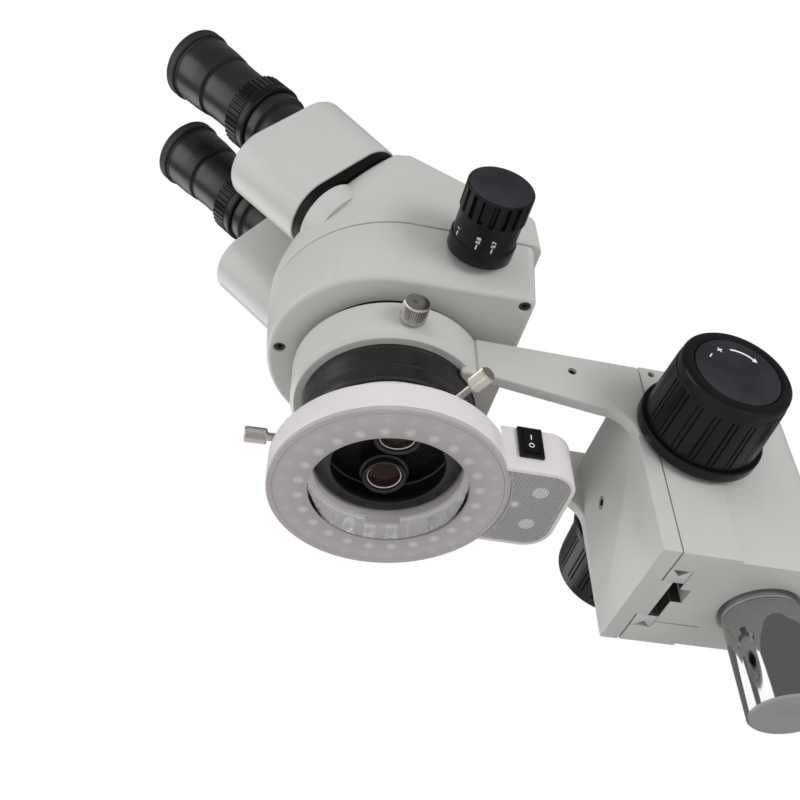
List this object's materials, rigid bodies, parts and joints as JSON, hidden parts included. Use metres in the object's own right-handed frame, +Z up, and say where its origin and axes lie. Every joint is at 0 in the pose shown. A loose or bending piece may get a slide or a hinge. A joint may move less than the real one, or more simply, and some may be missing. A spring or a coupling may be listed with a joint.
{
  "type": "stereo microscope",
  "caption": "Stereo zoom microscope head with inclined eyepieces, ring light and side zoom knobs, held by a fork arm on a rack-and-pinion focus block that clamps to a round post.",
  "frame": {"origin": "centre of the stand post's lower end, where the post enters a stand", "axes": "+Z up along the stand post, -Y towards the user's side, +X to the user's right; the optical axis is parallel to +Z at y = -155.8 mm"},
  "size_m": [0.181, 0.3391, 0.3474],
  "materials": {
    "body_paint": "satin light grey enamel over a fine orange-peel texture",
    "black_paint": "semi-gloss black enamel",
    "black_plastic": "satin black moulding",
    "disc_film": "fine-grained charcoal label film",
    "white_plastic": "smooth white moulding",
    "frosted_plastic": "frosted clear moulding",
    "clear_plastic": "clear moulding with small pyramids",
    "steel": "ground steel",
    "nickel": "nickel-plated, knurled",
    "chrome": "polished hard chrome",
    "dark_steel": "black-oxide steel",
    "brass": "machined",
    "aluminium": "machined",
    "black_anodised": "black anodised",
    "rubber": "soft black",
    "coated_glass": "coated lens",
    "prism_glass": "polished",
    "circuit_board": "white solder mask",
    "diode": "clear dome"
  },
  "bodies": {
    "stand": {"support_post": "chrome"},
    "focus_block": {"focus_housing": "body_paint", "slide_rails": "steel", "rail_set_screw": "dark_steel", "pinion_bushes": "brass"},
    "post_clamp": {"post_clamp_screw": "steel", "post_clamp_knob": "black_plastic"},
    "focus_slide": {"slide_bracket": "body_paint", "slide_strips": "steel", "focus_rack": "brass", "bracket_screws": "dark_steel"},
    "focus_drive": {"pinion_shaft": "steel", "focus_knob_left": "black_plastic", "focus_knob_right": "black_plastic", "knob_discs": "disc_film"},
    "head_lock": {"head_lock_screw": "nickel"},
    "head": {"lower_housing": "body_paint", "upper_cover": "body_paint", "neck_barrel": "black_paint", "objective_cells": "black_anodised", "objective_lenses": "coated_glass", "case_screws": "dark_steel", "zoom_guide_rods": "steel", "prism_frame": "aluminium", "bend_prisms": "prism_glass"},
    "lower_zoom_group": {"lens_carriage_lower": "black_anodised", "carriage_lenses_lower": "coated_glass"},
    "upper_zoom_group": {"lens_carriage_upper": "black_anodised", "carriage_lenses_upper": "coated_glass"},
    "zoom_drive": {"zoom_shaft": "steel", "zoom_knob_left": "black_plastic", "zoom_knob_right": "black_plastic"},
    "left_eye": {"pivot_flange_left": "black_paint", "prism_housing_left": "body_paint", "rhomboid_prism_left": "prism_glass", "eyetube_left": "black_anodised", "eyepiece_left": "black_anodised", "eyepiece_lenses_left": "coated_glass", "eyecup_left": "rubber"},
    "right_eye": {"pivot_flange_right": "black_paint", "prism_housing_right": "body_paint", "rhomboid_prism_right": "prism_glass", "eyetube_right": "black_anodised", "eyepiece_right": "black_anodised", "eyepiece_lenses_right": "coated_glass", "eyecup_right": "rubber"},
    "left_dioptre": {"dioptre_ring_left": "black_plastic"},
    "right_dioptre": {"dioptre_ring_right": "black_plastic"},
    "ring_light": {"light_housing": "white_plastic", "light_cover": "frosted_plastic", "led_board": "circuit_board", "led_ring": "diode", "box_cover": "clear_plastic", "driver_board": "circuit_board", "switch_frame": "black_plastic", "power_inlet": "black_plastic"},
    "light_switch": {"switch_rocker": "black_plastic"},
    "light_clamp_a": {"light_screw_a": "nickel"},
    "light_clamp_b": {"light_screw_b": "nickel"},
    "light_clamp_c": {"light_screw_c": "nickel"}
  },
  "joints": [
    {"name": "block_swivel", "type": "hinge", "parent": "stand", "child": "focus_block", "pos_m": [0, 0, 0.09], "axis": [0, 0, 1], "continuous": true},
    {"name": "post_clamp_turn", "type": "hinge", "parent": "focus_block", "child": "post_clamp", "pos_m": [0, 0, 0.0967], "axis": [0, 1, 0], "continuous": true},
    {"name": "focus_travel", "type": "slide", "parent": "focus_block", "child": "focus_slide", "axis": [0, 0, 1], "range_m": [-0.025, 0.025]},
    {"name": "focus_knob_turn", "type": "hinge", "parent": "focus_block", "child": "focus_drive", "pos_m": [0, -0.0293, 0.1083], "axis": [1, 0, 0], "range_deg": [-192, 192]},
    {"name": "head_lock_turn", "type": "hinge", "parent": "focus_slide", "child": "head_lock", "pos_m": [0.048, -0.1558, 0.1372], "axis": [1, 0, 0], "continuous": true},
    {"name": "head_swivel", "type": "hinge", "parent": "focus_slide", "child": "head", "pos_m": [0, -0.1558, 0.1367], "axis": [0, 0, 1], "continuous": true},
    {"name": "upper_zoom_slide", "type": "slide", "parent": "head", "child": "upper_zoom_group", "axis": [0, 0, 1], "range_m": [0, 0.007]},
    {"name": "zoom_turn", "type": "hinge", "parent": "head", "child": "zoom_drive", "pos_m": [0, -0.1286, 0.175], "axis": [1, 0, 0], "range_deg": [-3, 273]},
    {"name": "lower_zoom_slide", "type": "slide", "parent": "head", "child": "lower_zoom_group", "axis": [0, 0, 1], "range_m": [-0.0051, 0.0001]},
    {"name": "left_eye_swing", "type": "hinge", "parent": "head", "child": "left_eye", "pos_m": [-0.031, -0.19278, 0.21459], "axis": [0, -0.7071, 0.7071], "range_deg": [-1, 18]},
    {"name": "right_eye_swing", "type": "hinge", "parent": "head", "child": "right_eye", "pos_m": [0.031, -0.19278, 0.21459], "axis": [0, 0.7071, -0.7071], "range_deg": [-1.1, 18.1]},
    {"name": "left_dioptre_turn", "type": "hinge", "parent": "left_eye", "child": "left_dioptre", "pos_m": [-0.028, -0.22955, 0.29379], "axis": [0, -0.7071, 0.7071], "range_deg": [-120, 120]},
    {"name": "right_dioptre_turn", "type": "hinge", "parent": "right_eye", "child": "right_dioptre", "pos_m": [0.028, -0.22955, 0.29379], "axis": [0, -0.7071, 0.7071], "range_deg": [-120, 120]},
    {"name": "light_swivel", "type": "hinge", "parent": "head", "child": "ring_light", "pos_m": [0, -0.1558, 0.0967], "axis": [0, 0, 1], "continuous": true},
    {"name": "switch_rock", "type": "hinge", "parent": "ring_light", "child": "light_switch", "pos_m": [0.0249, -0.1029, 0.0934], "axis": [0, -1, 0], "range_deg": [0, 11]},
    {"name": "light_clamp_a_turn", "type": "hinge", "parent": "ring_light", "child": "light_clamp_a", "pos_m": [0.04443, -0.13287, 0.1017], "axis": [0.8886, 0.4586, 0], "continuous": true},
    {"name": "light_clamp_b_turn", "type": "hinge", "parent": "ring_light", "child": "light_clamp_b", "pos_m": [-0.04208, -0.12879, 0.1017], "axis": [-0.8415, 0.5402, 0], "continuous": true},
    {"name": "light_clamp_c_turn", "type": "hinge", "parent": "ring_light", "child": "light_clamp_c", "pos_m": [-0.00235, -0.20574, 0.1017], "axis": [-0.0471, -0.9989, 0], "continuous": true}
  ],
  "couplings": [
    {"joint": "focus_knob_turn", "follows": "focus_travel", "rad_per_m": -133.33},
    {"joint": "zoom_turn", "follows": "upper_zoom_slide", "rad_per_m": 673.2},
    {"joint": "lower_zoom_slide", "follows": "upper_zoom_slide", "ratio": -0.71429},
    {"joint": "right_eye_swing", "follows": "left_eye_swing", "ratio": 1}
  ]
}
